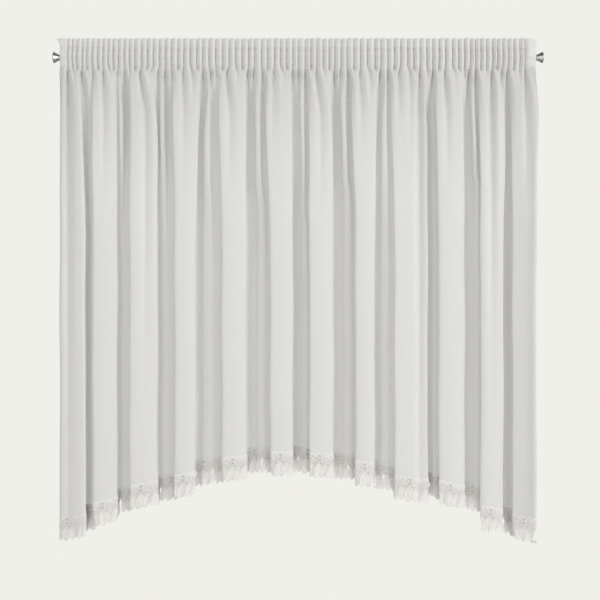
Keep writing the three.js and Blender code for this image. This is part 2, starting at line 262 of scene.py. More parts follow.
FRONT_LEVEL = 36.0  # how far the fronts of the folds stand into the room
FRONT_RADIUS = 7.0
FRONT_POINTS = 26
HOLLOW_RADIUS = 6.0
HOLLOW_POINTS = 40
EDGE_RADIUS = 7.0
BOW_POINTS = 9
LIP = 2.5  # rounding of a front's left edge
RIGHT_TURN = 6.0  # how far a front falls back towards its right edge
OUTER_TURN = 25.0  # how far the first and last fronts fall back towards the left
LEFT_RETURN = 14.0  # how far the left side edge goes straight back
RIGHT_RETURN = (0.5, 0.87)  # the way in which the right side edge goes back behind its front
TUCK = (3.0, 9.0)  # how far a hollow reaches under its fronts, in the middle and more at the sides
MOST_UNDER = 8.0  # the most cloth that a hollow puts under the next front
FLOOR_RISE = 0.5  # share of its depth by which a hollow rises to the right, lower down
RIDGE_SIDES = (0.12, 0.16)  # share of a hollow over which a ridge rises and falls
LOW_RIDGE = 0.08  # what is left of a ridge lower down
UPPER_SHARES = (0.6, 0.9)  # shares of the floor's rise and of the ridge at the top
UPPER_CREASED = 0.3  # share of the cloth that the creases take up at the top
UPPER_END = (-76.0, 230.0, 1.3)  # where the upper shape begins to give way, over what drop, power
OPENING = (100.0, 1.3)  # drop below the tape in which the pleats open into folds, and its power
DEPTH_RANGE = (10.0, 120.0)  # least and greatest depth that is tried for a fold
DEPTH_TRIES = 16
SOFTNESS = 0.9  # rounding of the fold edges, in steps along the cloth
SOFT_REACH = 4  # how many steps it takes in on each side
SWAYS = [(1.0, 620.0, 940.0), (0.7, 370.0, -560.0)]  # size, and length of a wave down and across
SWAY_DROP = 300.0  # drop below the tape at which the sway is full
RUFFLE_LEAN = (12.0, 22.0)  # how far the ruffle leans out at its left end, and on how much cloth
RUFFLE_BULGE = (4.0, 16.0)  # how far it bulges at its right end
RUFFLE_DIP = (7.0, 10.0)  # how far its right corner drops
RUFFLE_WAVES = (0.8, 0.071, 0.023)  # size and paces of the waves along its edge
LIP_STEPS = (-3.0, -1.2, 0.0, 1.5, 3.5)  # extra columns about a front's left edge
ROW_BANDS = [  # heights between which the rows of the mesh are evenly spaced, and how many
    (HEAD_TOP, TAPE_BOTTOM, 15), (TAPE_BOTTOM, -70.0, 14), (-70.0, -200.0, 15),
    (-200.0, -480.0, 12), (-480.0, -1100.0, 8),
]
HEM_ROWS = 8  # rows from there to the hem
PAINTED_SHADING_BY_HEIGHT = [  # height on the cloth and share of white: painted light at the tape and painted shade just below it
    (-450, 0.93), (-351, 0.916), (-230, 0.884), (-113, 0.846), (-45, 0.84), (-30, 0.93),
    (-20, 1.0), (2, 0.985), (26, 0.965), (36, 0.94), (60, 0.935),
]

side_rows = [(x, x, x, SIDE_END, 0) for x in (LEFT_EDGE, RIGHT_EDGE)]
tracks = np.array([side_rows[0], *CREASES, side_rows[1]], float)
lasting = np.unique([0, *np.flatnonzero(tracks[:, 4] > 0), len(tracks) - 1])
for level in (1, 2):
    shift = tracks[lasting, level] - tracks[lasting, 0]
    tracks[:, level] = tracks[:, 0] + np.interp(np.arange(len(tracks)), lasting, shift)
track_cloth = np.arange(PLEATS + 1) * PLEAT_CLOTH
fold_starts = [float(np.interp(fold[2], tracks[:, 0], track_cloth)) for fold in FOLDS]
fold_ends = fold_starts[1:] + [CLOTH_WIDTH]


def ease(value):
    """A smooth step from 0 to 1."""
    value = np.clip(value, 0, 1)
    return value * value * (3 - 2 * value)


def bow(x, f, radius, start, end):
    """A part of a circle in plan, between two angles in degrees."""
    turn = np.radians(np.linspace(start, end, BOW_POINTS))
    return np.column_stack([x + radius * np.cos(turn), f + radius * np.sin(turn)])


def front_left(index):
    """How far into the room a front begins."""
    return FRONT_LEVEL - LIP - (OUTER_TURN if index + 1 == len(FOLDS) else 0)


def fold_plan(index, upper, depth):
    """Plan of one fold as x and distance into the room: front face, side going back, hollow."""
    top_left, top_right, low_left, low_right, ridge_start, ridge_end, ridge, deepest = FOLDS[index]
    left = low_left + (top_left - low_left) * upper
    right = low_right + (top_right - low_right) * upper
    first, last = index == 0, index + 1 == len(FOLDS)
    r = EDGE_RADIUS if last else FRONT_RADIUS
    begin = EDGE_RADIUS if first else LIP
    across = np.linspace(left + begin, right - r, FRONT_POINTS)
    share = (across - left - begin) / (right - left - begin - r)
    face = FRONT_LEVEL - RIGHT_TURN * share**4
    parts = [[(left, front_left(index))]]
    if first:
        face = FRONT_LEVEL - OUTER_TURN * (1 - share) ** 1.5
        side_bow = bow(left + begin, face[0] - begin, begin, 180, 90)
        parts = [[(left, face[0] - begin - LEFT_RETURN)], side_bow]
    if last:
        face = FRONT_LEVEL - OUTER_TURN * (1 - share)
    parts.append(np.column_stack([across, face]))
    if last:  # the side edge is turned back behind the front
        parts.append(bow(right - r, face[-1] - r, r, 90, -50))
        x, f = parts[-1][-1]
        parts.append([(x - RIGHT_RETURN[0] * depth, f - RIGHT_RETURN[1] * depth)])
        return np.vstack(parts)
    spare = max(0.0, depth - deepest)
    depth, spare = depth - spare, min(spare, MOST_UNDER)
    back = FRONT_LEVEL - depth
    parts.append(bow(right - r, face[-1] - r, r, 75, 0))
    following = FOLDS[index + 1]
    end = following[2] + (following[0] - following[2]) * upper
    aside = (right + end) / 2 / RIGHT_EDGE
    under = [(TUCK[0] + TUCK[1] * max(0.0, way * aside)) * (1 - upper) for way in (-1, 1)]
    under[1] += spare
    h = min(HOLLOW_RADIUS, (end - right) / 4)
    floor = np.linspace(right - under[0] + h, end + under[1] - h, HOLLOW_POINTS)[1:]
    part = (floor - floor[0]) / (floor[-1] - floor[0])
    ridged = ease((part - ridge_start) / RIDGE_SIDES[0] + 0.5)
    ridged = ridged * ease((ridge_end - part) / RIDGE_SIDES[1] + 0.5)
    even = (FLOOR_RISE + min(0.0, ridge)) * (1 - (1 - part) ** 2) + LOW_RIDGE * ridged
    drawn_up = min(1.0, 2 * upper)
    top = np.maximum(UPPER_SHARES[0] * even, UPPER_SHARES[1] * ridge * ridged)
    rise = even + (top - even) * drawn_up
    parts.append(bow(right - under[0] + h, back + depth * rise[0] + h, h, 190, 270))
    parts.append(np.column_stack([floor, back + depth * rise]))
    parts.append([(end + under[1], back + depth * rise[-1] + h), (end, front_left(index + 1))])
    return np.vstack(parts)


def path_run(path):
    """Length of a path up to each of its points."""
    return np.concatenate([[0], np.cumsum(np.linalg.norm(np.diff(path, axis=0), axis=1))])


def hanging_plan(across, upper):
    """x and y of the hanging folds for distances across the flat cloth, at one height."""
    even = np.linspace(0, CLOTH_WIDTH, int(CLOTH_WIDTH / CLOTH_STEP) + 1)
    place = np.zeros((len(even), 2))
    for index in range(len(FOLDS)):
        cloth = fold_ends[index] - fold_starts[index]
        hung = cloth * (1 - UPPER_CREASED * upper)
        shallow, deep = DEPTH_RANGE
        for _ in range(DEPTH_TRIES):  # the depth that uses up this fold's share of the cloth
            middle = (shallow + deep) / 2
            if path_run(fold_plan(index, upper, middle))[-1] < hung:
                shallow = middle
            else:
                deep = middle
        path = fold_plan(index, upper, middle)
        run = path_run(path)
        share = (even - fold_starts[index]) / cloth
        here = (share >= 0) & (share <= 1)
        place[here, 0] = np.interp(share[here] * run[-1], run, path[:, 0])
        place[here, 1] = -np.interp(share[here] * run[-1], run, path[:, 1])
    soft = np.pad(place, ((SOFT_REACH, SOFT_REACH), (0, 0)), mode="reflect", reflect_type="odd")
    weights = np.exp(-0.5 * (np.arange(-SOFT_REACH, SOFT_REACH + 1) / SOFTNESS) ** 2)
    eased = sum(w * soft[n:n + len(place)] for n, w in enumerate(weights / weights.sum()))
    return np.column_stack([np.interp(across, even, eased[:, axis]) for axis in (0, 1)])


def hem_height(across):
    """Height of the hem: an even arch, lifted or dropped a little by each fold."""
    places, lifts = [], []
    for index, (front, hollow) in enumerate(HEM_LIFT):
        wide = FOLDS[index][3] - FOLDS[index][2]
        rest = fold_ends[index] - fold_starts[index] - wide
        steps = [HEM_INSET, wide - HEM_INSET] + [wide + part * rest for part in HOLLOW_SPAN]
        places += [fold_starts[index] + step for step in steps]
        lifts += [front, front, hollow, hollow]
    from_middle = 2 * across / CLOTH_WIDTH - 1
    arch = ARCH_RISE * np.maximum(0, 1 - from_middle**2) ** ARCH_POWER
    return -SIDE_DROP + LACE_HEIGHT + arch + np.interp(across, places, lifts)


def crease_lines(height):
    """x and depth of every groove at one height. A groove that ends leaves a small dimple."""
    heading, below, low, ends, share = tracks.T
    leave = ease((LEAVE_LEVEL - height) / (LEAVE_LEVEL - BELOW_LEVEL))
    settle = np.clip((BELOW_LEVEL - height) / (BELOW_LEVEL - LOW_LEVEL), 0, 1)
    x = heading + (below - heading) * leave + (low - below) * settle
    lasts = share > 0
    drawn = ease((TAPE_BOTTOM - height) / (TAPE_BOTTOM - np.where(lasts, BELOW_LEVEL, ends)))
    life = np.clip((height - ends) / (BELOW_LEVEL - ends), 0, 1) ** CREASE_FADE
    held = share * np.clip((BELOW_LEVEL - ends) / FULL_CREASE, SHORT_CREASE, 1)
    depth = PLEAT_DEPTH * (1 - drawn) + CREASE_DEPTH * held * np.where(lasts, life, 0) * drawn
    dimple = POCKET_DEPTH * math.exp(-(((height - POCKET_LEVEL) / POCKET_HALF) ** 2))
    depth = depth + np.where(lasts, 0, dimple)
    depth[0], depth[-1] = LEFT_END * PLEAT_DEPTH * (1 - drawn[0]), 0
    return x, depth


def crease_sink(x, height):
    """How far the grooves set the cloth back: a narrow fall on the left, a long slope on the right."""
    lines, depth = crease_lines(height)
    low = max(0.0, BELOW_LEVEL - height)
    steep, reach = [near + more * low / (low + half) for near, more, half in (SLOT_WIDTH, SLOPE_WIDTH)]
    reach = reach - SLOPE_RIGHT[0] * np.clip(lines / SLOPE_RIGHT[1], 0, 1)
    reach[0] += LEFT_REACH
    off = x[:, None] - lines[None, :]
    slot = np.exp(-((off / steep) ** 2))
    slope = np.clip(1 - off / reach, 0, 1)
    shape = np.where(off < 0, slot, SLOT_SHARE * slot + (1 - SLOT_SHARE) * slope)
    return (shape * depth).sum(axis=1)


def swell(height):
    """Share of the swell over the rod: all of it at the rod, none above and below the tape."""
    return math.cos(np.clip(height / SWELL_REACH, -1, 1) * math.pi / 2) ** 2


def voile_row(across, height):
    """x, y and z of the voile along one height. Low down, the height can differ along the row."""
    height = np.broadcast_to(np.asarray(height, float), across.shape)
    level = float(height.mean())
    below = max(0.0, TAPE_BOTTOM - level)
    pleat = np.minimum((across / PLEAT_CLOTH).astype(int), PLEATS - 1)
    share = across / PLEAT_CLOTH - pleat
    phase = np.interp(share * PLEAT_COLUMNS, np.arange(PLEAT_COLUMNS + 1), COLUMN_PHASES)
    lines, _ = crease_lines(level)
    x = lines[pleat] + phase * (lines[pleat + 1] - lines[pleat])
    opened = 1 - math.exp(-((below / OPENING[0]) ** OPENING[1]))
    upper = math.exp(-((max(0.0, UPPER_END[0] - level) / UPPER_END[1]) ** UPPER_END[2]))
    plan = hanging_plan(across, upper)
    sway = sum(size * np.sin(2 * math.pi * (level / down + across / wide)) for size, down, wide in SWAYS)
    x = x + (plan[:, 0] + sway * min(1, below / SWAY_DROP) - x) * opened
    ridge = PLEAT_BACK - POCKET_SWELL * swell(level) - PLEAT_DEPTH
    y = ridge + (plan[:, 1] - ridge) * opened
    y = y + crease_sink(x, level)
    ruffle = np.clip((height - TAPE_TOP) / (HEAD_TOP - TAPE_TOP), 0, 1)
    from_right = CLOTH_WIDTH - across
    x = x - RUFFLE_LEAN[0] * ruffle**2 * np.exp(-across / RUFFLE_LEAN[1])
    x = x + RUFFLE_BULGE[0] * np.sin(math.pi * ruffle) * np.exp(-from_right / RUFFLE_BULGE[1])
    z = height - RUFFLE_DIP[0] * ruffle * np.exp(-from_right / RUFFLE_DIP[1])
    size, slow, slower = RUFFLE_WAVES
    z = z - size * ruffle * (1 + np.sin(across * slow) * np.sin(across * slower))
    return np.column_stack([x, y, z])


def maths(tree, operation, *values):
    """One step of arithmetic in a node tree."""
    return add_node(tree, "ShaderNodeMath", dict(enumerate(values)), operation=operation)["Value"]


def mix_colours(tree, share, first, second, **settings):
    """A mix of two colours in a node tree."""
    inputs = {"Factor": share, "A": first, "B": second}
    return add_node(tree, "ShaderNodeMix", inputs, data_type="RGBA", **settings)["Result"]


def mix_shaders(tree, share, first, second):
    """A mix of two shaders in a node tree."""
    return add_node(tree, "ShaderNodeMixShader", {"Fac": share, 1: first, 2: second})["Shader"]


def weave_wave(tree, place, direction, inputs):
    """Threads side by side in one direction, as a wave over the places on a cloth."""
    wave = add_node(tree, "ShaderNodeTexWave", {"Vector": place, **inputs}, bands_direction=direction)
    return wave["Fac"]


def finish_cloth(tree, shader, colour, threads, bump, glow, cover=None):
    """Joins up a cloth: colour, raised threads, light that glows through, and how far it covers."""
    strength, distance = bump
    inputs = {"Height": threads, "Strength": strength, "Distance": distance}
    raised = add_node(tree, "ShaderNodeBump", inputs)["Normal"]
    set_inputs(tree, shader, {"Base Color": colour, "Normal": raised})
    through = add_node(tree, "ShaderNodeBsdfTranslucent", {"Color": colour})["BSDF"]
    cloth = mix_shaders(tree, glow, shader.outputs["BSDF"], through)
    if cover is not None:
        gaps = add_node(tree, "ShaderNodeBsdfTransparent", {})["BSDF"]
        cloth = mix_shaders(tree, cover, gaps, cloth)
    set_inputs(tree, tree.nodes["Material Output"], {"Surface": cloth})


def voile_cloth(name):
    """Fine sheer plain weave: thin threads across and along, slubs, light passing through, and painted
    light and shade by height.
    """
    material, tree, shader = new_material(name)
    set_inputs(tree, shader, {
        "Roughness": 0.82, "Specular IOR Level": 0.2, "Sheen Weight": 0.12, "Sheen Roughness": 0.4,
    })
    cloth = add_node(tree, "ShaderNodeUVMap", {}, uv_map="cloth")["UV"]
    fine = {"Scale": 450.0, "Distortion": 1.2, "Detail": 1.0}
    weave = maths(tree, "MAXIMUM", *[weave_wave(tree, cloth, way, fine) for way in ("X", "Y")])
    slubs = []
    for stretch in ((14.0, 420.0, 1.0), (420.0, 10.0, 1.0)):
        drawn = add_node(tree, "ShaderNodeMapping", {"Vector": cloth, "Scale": stretch})["Vector"]
        slub = add_node(tree, "ShaderNodeTexNoise", {"Vector": drawn, "Scale": 1.0, "Detail": 3.0})
        slubs.append(slub["Fac"])
    mottle = maths(tree, "ADD", *slubs)
    tone = add_node(tree, "ShaderNodeMapRange", {
        "Value": mottle, "From Min": 0.6, "From Max": 1.4,
    })["Result"]
    colour = mix_colours(tree, tone, *VOILE_TONES)
    # Painted light and shade: the colour is multiplied by a grey that follows the height on the cloth.
    bottom, top = PAINTED_SHADING_BY_HEIGHT[0][0], PAINTED_SHADING_BY_HEIGHT[-1][0]
    up = add_node(tree, "ShaderNodeSeparateXYZ", {"Vector": cloth})["Y"]
    height = add_node(tree, "ShaderNodeMapRange", {
        "Value": up, "From Min": bottom * MM, "From Max": top * MM,
    })["Result"]
    stops = [((level - bottom) / (top - bottom), (grey, grey, grey)) for level, grey in PAINTED_SHADING_BY_HEIGHT]
    painted_shading = add_ramp(tree, height, stops)
    shaded_colour = mix_colours(tree, 1.0, colour, painted_shading, blend_type="MULTIPLY")
    cover = add_node(tree, "ShaderNodeMapRange", {
        "Value": tone, "To Min": 0.74, "To Max": 0.77,
    })["Result"]
    finish_cloth(tree, shader, shaded_colour, weave, bump=(0.12, 0.00012), glow=0.22, cover=cover)
    return material


def sheet_faces(row_count, column_count):
    """Quads of a grid of points, facing the room."""
    corner = np.arange(row_count * column_count).reshape(row_count, column_count)
    quads = np.stack([corner[:-1, :-1], corner[1:, :-1], corner[1:, 1:], corner[:-1, 1:]], axis=-1)
    return quads.reshape(-1, 4).tolist()


def keep_result(piece, modifier):
    """Turns what a modifier makes of a piece into the piece's plain mesh."""
    graph = bpy.context.evaluated_depsgraph_get()
    mesh = bpy.data.meshes.new_from_object(piece.evaluated_get(graph))
    piece.modifiers.remove(modifier)
    piece.data = mesh


def cloth_sheet(name, grid, across, rows, material, thickness):
    """A thin closed sheet on a grid of points, with its flat cloth as a UV map in metres."""
    piece = mesh_piece(name, grid.reshape(-1, 3), sheet_faces(*grid.shape[:2]), material)
    flat = np.stack([np.broadcast_to(across, grid.shape[:2]), np.array(rows)], axis=-1)
    flat = flat.reshape(-1, 2) * MM
    corners = np.zeros(len(piece.data.loops), int)
    piece.data.loops.foreach_get("vertex_index", corners)
    uv = piece.data.uv_layers.new(name="cloth")
    uv.data.foreach_set("uv", flat[corners].ravel())
    solid = piece.modifiers.new("thickness", "SOLIDIFY")
    solid.thickness = thickness * MM
    solid.offset = 0
    keep_result(piece, solid)
    piece.data.set_sharp_from_angle(angle=math.radians(RIM_ANGLE))
    return piece


even_columns = np.arange(PLEATS * PLEAT_COLUMNS + 1) / PLEAT_COLUMNS * PLEAT_CLOTH
lip_columns = [begin + step for begin in fold_starts[1:] for step in LIP_STEPS]
voile_across = np.unique(np.concatenate([even_columns, lip_columns]))
hem = hem_height(voile_across)
bands = [np.linspace(high, low, count + 1)[1:] for high, low, count in ROW_BANDS]
level_rows = np.concatenate([[HEAD_TOP], *bands])
rows = [np.full(len(voile_across), level) for level in level_rows]
rows += [level_rows[-1] + (hem - level_rows[-1]) * step / HEM_ROWS for step in range(1, HEM_ROWS + 1)]
grid = np.array([voile_row(voile_across, row) for row in rows])
voile = voile_cloth("sheer voile")
panel = cloth_sheet("voile", grid, voile_across, rows, voile, VOILE_THICKNESS)
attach(panel, "root")
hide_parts("voile_panel")

# Side hems.
# The cloth's two side edges are turned in once, as narrow second layers behind the panel from
# the tape down to the lower edge, and stitched down.
HEM_COLUMNS = 5
HEM_OFFSET = 0.55


def set_back(points, offset):
    """Points along the last but one axis moved behind the cloth, square to it in plan."""
    way = np.gradient(points[..., :2], axis=-2)
    way = way / np.linalg.norm(way, axis=-1, keepdims=True)
    moved = points.copy()
    moved[..., 0] -= offset * way[..., 1]
    moved[..., 1] += offset * way[..., 0]
    return moved


hem_top = int(np.flatnonzero(level_rows == TAPE_BOTTOM)[0])
for name, columns in (("left_hem", slice(0, HEM_COLUMNS)), ("right_hem", slice(-HEM_COLUMNS, None))):
    strip = set_back(grid[hem_top:, columns], HEM_OFFSET)
    hem_rows = [row[columns] for row in rows[hem_top:]]
    side_hem = cloth_sheet(name, strip, voile_across[columns], hem_rows, voile, VOILE_THICKNESS)
    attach(side_hem, "root")

# Heading tape.
# Woven gathering tape, 60 mm deep, sewn to the back of the voile above and below the rod. It
# is drawn up with the voile, passes behind the rod and closes the pocket.
TAPE_OFFSET = 2.0
TAPE_BEHIND = 20.5  # how far it is behind that at the rod
TAPE_THICKNESS = 0.7
TAPE_TONES = ((0.84, 0.835, 0.815, 1), (0.92, 0.915, 0.895, 1))
TAPE_SHORT = 4  # columns of the voile by which it stops short of each side edge
TAPE_ROWS = 15


def tape_row(across, height):
    """x, y and z of the tape along one height, behind the voile's pleats."""
    base = voile_row(across, np.full(across.shape, height))
    base[:, 1] += TAPE_OFFSET + (POCKET_SWELL + TAPE_BEHIND) * swell(height)
    return base


def tape_cloth(name):
    """Close woven tape with ribs across it and finer threads along it."""
    material, tree, shader = new_material(name)
    set_inputs(tree, shader, {"Roughness": 0.88, "Specular IOR Level": 0.2})
    cloth = add_node(tree, "ShaderNodeUVMap", {}, uv_map="cloth")["UV"]
    ribs = weave_wave(tree, cloth, "X", {"Scale": 210.0, "Distortion": 0.8})
    picks = weave_wave(tree, cloth, "Y", {"Scale": 300.0})
    weave = maths(tree, "MULTIPLY", ribs, picks)
    colour = mix_colours(tree, weave, *TAPE_TONES)
    finish_cloth(tree, shader, colour, weave, bump=(0.3, 0.0003), glow=0.6, cover=0.48)
    return material


tape_across = voile_across[TAPE_SHORT:-TAPE_SHORT]
tape_levels = np.linspace(TAPE_TOP, TAPE_BOTTOM, TAPE_ROWS)
tape_rows = [np.full(len(tape_across), level) for level in tape_levels]
tape_grid = np.array([tape_row(tape_across, level) for level in tape_levels])
tape_white = tape_cloth("gathering tape")
tape = cloth_sheet("tape", tape_grid, tape_across, tape_rows, tape_white, TAPE_THICKNESS)
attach(tape, "root")
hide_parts("heading_tape")

# Lace edge.
# Thick white embroidered lace, 78 mm deep, sewn under the hem: a ground with flowers and leaves,
# a row of petals below it, and a scalloped footing stitched over the hem.
LACE_TONES = ((0.88, 0.875, 0.86, 1), (0.97, 0.964, 0.946, 1))
# Painted shade: the dark grey towards which the small spots and the lace ground are mixed.
PAINTED_SHADE_TONE = (0.33, 0.32, 0.31, 1)
REPEATS = 39
REPEAT = CLOTH_WIDTH / REPEATS
PETAL_PITCH = REPEAT / 3
PETAL_SHAPE = [  # share of a petal's length above its tip, share of its half width
    (0.0, 0.0), (0.025, 0.30), (0.08, 0.58), (0.17, 0.82), (0.31, 0.97), (0.47, 1.0),
    (0.63, 0.92), (0.77, 0.76), (0.89, 0.50), (0.97, 0.22), (1.0, 0.0),
]
PETAL_RINGS = [(0.985, 0.9), (0.91, 1.8), (0.80, 1.5), (0.68, 0.8), (0.34, 1.0), (0.10, 1.7)]
PETAL_BACK = 0.2
MIDDLE_PETAL = (0.0, 49.0, 17.0)  # tip above the lower edge, length, half width
SIDE_PETAL = (2.0, 46.0, 12.3)
MIDDLE_LIFT = 0.9  # how far the middle petal lies over the two beside it
SIDE_LEAN = 0.08
LEAVES = [  # x, z, length, width and turn of the leaves on each side of a flower
    (17.5, -8.0, 13.0, 6.4, 0.5), (25.0, -17.0, 12.0, 6.0, -0.35),
]
ARCHES = [  # place in petals, half width, foot and rise of the corded arches over the petals
    (0, 14.0, -37.0, 12.5), (-1, 11.0, -38.0, 11.5), (1, 11.0, -38.0, 11.5),
]
ARCH_FLAT = 0.95  # how close an arch comes to a whole half round
ARCH_POINTS = 9
ARCH_CORD = 1.4  # half thickness of its cord, and how high it lies on the ground
CORD_SIDES = 4
LEAF_POINTS = 10
LEAF_FULLER = 0.35  # how much fuller one half of a leaf is than the other
FLOWER_LEVEL = -13.0
FLOWER_LEAVES = (0, 36, 144, 180, 216, 324)  # degrees round the bead, apart above and below it
FLOWER_REACH = (7.8, 6.6)  # across and up to the middle of a leaf
FLOWER_LEAF = (7.6, 5.4)  # length and width
BEAD = (6.6, 6.2)
PAINTED_SHADE_SPOTS = [  # x, z, half width, half height and darkness of the small raised spots, painted dark as shaded holes, in one repeat
    (0.0, -6.6, 6.0, 2.0, 0.55), (0.0, -19.6, 6.8, 2.0, 0.48), (-34.0, -8.0, 2.3, 1.9, 0.4),
    (33.5, -18.0, 1.9, 2.2, 0.4), (-13.2, -30.0, 2.2, 2.8, 0.5), (13.2, -30.0, 2.2, 2.8, 0.5),
]
# Rings of share and height of each raised pad, from its rim inwards, and the height of its back.
LEAF_RINGS = [(0.96, 1.2), (0.6, 2.2)]
FLOWER_RINGS = [(0.96, 1.4), (0.55, 2.4)]
BEAD_RINGS = [(0.96, 1.6), (0.6, 2.9)]
SHADE_SPOT_RINGS = [(0.9, 1.5)]
SHADE_SPOT_POINTS = 8
PAD_BACK = 0.6
# Section of the ground: share of its depth from the top, height, and whether it gets painted shade.
GROUND_SECTION = [
    (0.0, 0.32, 0), (0.07, 0.7, 0), (0.17, 0.9, 0), (0.32, 0.9, 1), (0.7, 0.9, 1), (1.0, 0.9, 1),
    (1.0, 0.3, 1), (0.5, 0.3, 1),
]
GROUND_STEPS = 24  # in one repeat
GROUND_FOOT = -41.0
FOOTING = (2.5, 3.0)  # how far the footing lies over the hem, and more at its scallops
GUSSET = (-24.0, 8.0)  # how far the ground reaches down between two repeats of a front, half width
SLIT = (15.0, 4.5)  # how far it is slit between two repeats of a hollow, half width
FRONT_MARGIN = (4.0, 6.0)  # how far past its left and right side a front's ground isn't slit
END_REPEAT = 0.9  # share of their width that the first and last repeats keep, to stay on the strip
NET_SHADE = 0.16  # how much greyer the ground below the footing is than the raised petals: painted shade
LACE_STIFFNESS = 0.7  # how much of a fold's depth the lower edge of the lace doesn't follow
LACE_CURL = 0.03  # from the foremost to the hindmost curl of its lower edge, in metres
LACE_SEED = 5
REPEAT_SCALES = ((0.97, 0.8, 0.93), (1.03, 1.25, 1.03))  # least and greatest of a repeat
REPEAT_TURNS = ((0, -0.06, 0), (0, 0.06, 0))  # in radians
LACE_CRISP = 55.0  # degrees past which an edge of the lace stays crisp
HEM_POINTS = 2001

# The lace is eased along the hem so that a flower comes to the middle of each front. Between two
# fronts lies the whole number of repeats that fits best. Places on the strip are measured along
# the hem as it hangs.
fine_across = np.linspace(0, CLOTH_WIDTH, HEM_POINTS)
hem_points = voile_row(fine_across, hem_height(fine_across))
hem_run = path_run(hem_points)
strip_run = hem_run / hem_run[-1] * CLOTH_WIDTH
front_cloth = [(start, start + fold[3] - fold[2]) for start, fold in zip(fold_starts, FOLDS)]
front_sides = np.interp(front_cloth, fine_across, strip_run)
front_middles = front_sides.mean(axis=1)
between = np.round(np.diff(front_middles) / REPEAT)
flower_counts = 0.5 + np.concatenate([[0], np.cumsum(between)])
last_count = flower_counts[-1] + 0.5 + np.round((CLOTH_WIDTH - front_middles[-1]) / REPEAT - 0.5)
lace_counts = [0, *flower_counts, last_count]
lace_places = [0, *front_middles, CLOTH_WIDTH]


def join_parts(parts):
    """One list of points and one of faces from several."""
    points, faces = [], []
    for part_points, part_faces in parts:
        start = len(points)
        points += [tuple(p) for p in part_points]
        faces += [tuple(start + n for n in face) for face in part_faces]
    return points, faces


def pad(outline, centre, rings, back):
    """A raised pad inside an outline: rings of share and height on the front, flat behind."""
    count = len(outline)
    outline = np.asarray(outline, float)
    centre = np.asarray(centre, float)
    points, faces = [], []
    for share, height in [(1.0, back)] + rings:
        ring = centre + (outline - centre) * share
        points += [(x, height, z) for x, z in ring]
    points += [(centre[0], rings[-1][1], centre[1]), (centre[0], back, centre[1])]
    top, bottom, last = len(points) - 2, len(points) - 1, len(rings) * count
    for n in range(count):
        m = (n + 1) % count
        for a in range(0, last, count):
            faces.append((a + n, a + m, a + count + m, a + count + n))
        faces += [(last + n, last + m, top), (m, n, bottom)]
    return points, faces


def tube_faces(rings, sides):
    """Faces of a tube whose points lie in rings, closed at both ends."""
    faces = []
    for a in range(0, (rings - 1) * sides, sides):
        for s in range(sides):
            t = (s + 1) % sides
            faces.append((a + s, a + t, a + sides + t, a + sides + s))
    faces.append(tuple(range(sides))[::-1])
    faces.append(tuple((rings - 1) * sides + s for s in range(sides)))
    return faces


def run_cord(path, thick, sides):
    """A cord along points of x, height and z, closed at both ends."""
    path = np.asarray(path, float)
    points = []
    outward = np.array([0.0, 1.0, 0.0])
    for point, way in zip(path, np.gradient(path, axis=0)):
        across = np.array([-way[2], 0.0, way[0]])
        across /= np.linalg.norm(across)
        for s in range(sides):
            tilt = 2 * math.pi * s / sides
            points.append(point + thick * (math.cos(tilt) * across + math.sin(tilt) * outward))
    return points, tube_faces(len(path), sides)


def leaf_outline(x, z, length, width, turn):
    """Outline of a leaf about a point, fuller on one half and turned by an angle."""
    steps = np.linspace(0, 2 * math.pi, LEAF_POINTS, endpoint=False)
    along = length / 2 * np.cos(steps)
    aside = width / 2 * np.sin(steps) * (1 - LEAF_FULLER * np.cos(steps))
    c, s = math.cos(turn), math.sin(turn)
    return [(x + a * c - b * s, z + a * s + b * c) for a, b in zip(along, aside)]


def petal_pad(x, size, lean, lift):
    """One petal with a raised satin rim and a vein, its tip at a height above the lower edge."""
    foot, length, half = size
    right = [(half * w, length * t) for t, w in PETAL_SHAPE]
    outline = right + [(-w, t) for w, t in right[-2:0:-1]]
    c, s = math.cos(lean), math.sin(lean)
    middle = length / 2
    z = foot + middle - LACE_HEIGHT
    leaning = [(x + w * c - (t - middle) * s, z + w * s + (t - middle) * c) for w, t in outline]
    rings = [(share, lift + height) for share, height in PETAL_RINGS]
    return pad(leaning, (x, z), rings, lift + PETAL_BACK)


def lace_repeat():
    """One repeat of the lace, flat about x 0, and the painted shade of each of its points."""
    parts = [petal_pad(0.0, MIDDLE_PETAL, 0.0, MIDDLE_LIFT)]
    for side in (-1, 1):
        parts.append(petal_pad(side * PETAL_PITCH, SIDE_PETAL, side * SIDE_LEAN, 0.0))
        for reach, z, length, width, tilt in LEAVES:
            outline = leaf_outline(side * reach, z, length, width, side * tilt)
            parts.append(pad(outline, (side * reach, z), LEAF_RINGS, PAD_BACK))
    for place, half, foot, rise in ARCHES:
        arch = []
        for t in np.linspace(-1, 1, ARCH_POINTS):
            z = foot + rise * math.sqrt(1 - ARCH_FLAT * t * t)
            arch.append((place * PETAL_PITCH + half * t, ARCH_CORD, z))
        parts.append(run_cord(arch, ARCH_CORD, CORD_SIDES))
    for degrees in FLOWER_LEAVES:
        turn = math.radians(degrees)
        x = FLOWER_REACH[0] * math.cos(turn)
        z = FLOWER_LEVEL + FLOWER_REACH[1] * math.sin(turn)
        parts.append(pad(leaf_outline(x, z, *FLOWER_LEAF, turn), (x, z), FLOWER_RINGS, PAD_BACK))
    bead = leaf_outline(0.0, FLOWER_LEVEL, *BEAD, 0.0)
    parts.append(pad(bead, (0.0, FLOWER_LEVEL), BEAD_RINGS, PAD_BACK))
    painted_darkness = [0.0] * sum(len(points) for points, faces in parts)
    for x, z, wide, high, dark in PAINTED_SHADE_SPOTS:
        steps = np.linspace(0, 2 * math.pi, SHADE_SPOT_POINTS, endpoint=False)
        disc = [(x + wide * math.cos(t), z + high * math.sin(t)) for t in steps]
        parts.append(pad(disc, (x, z), SHADE_SPOT_RINGS, PAD_BACK))
        painted_darkness += [dark] * len(parts[-1][0])
    points, faces = join_parts(parts)
    return points, faces, painted_darkness


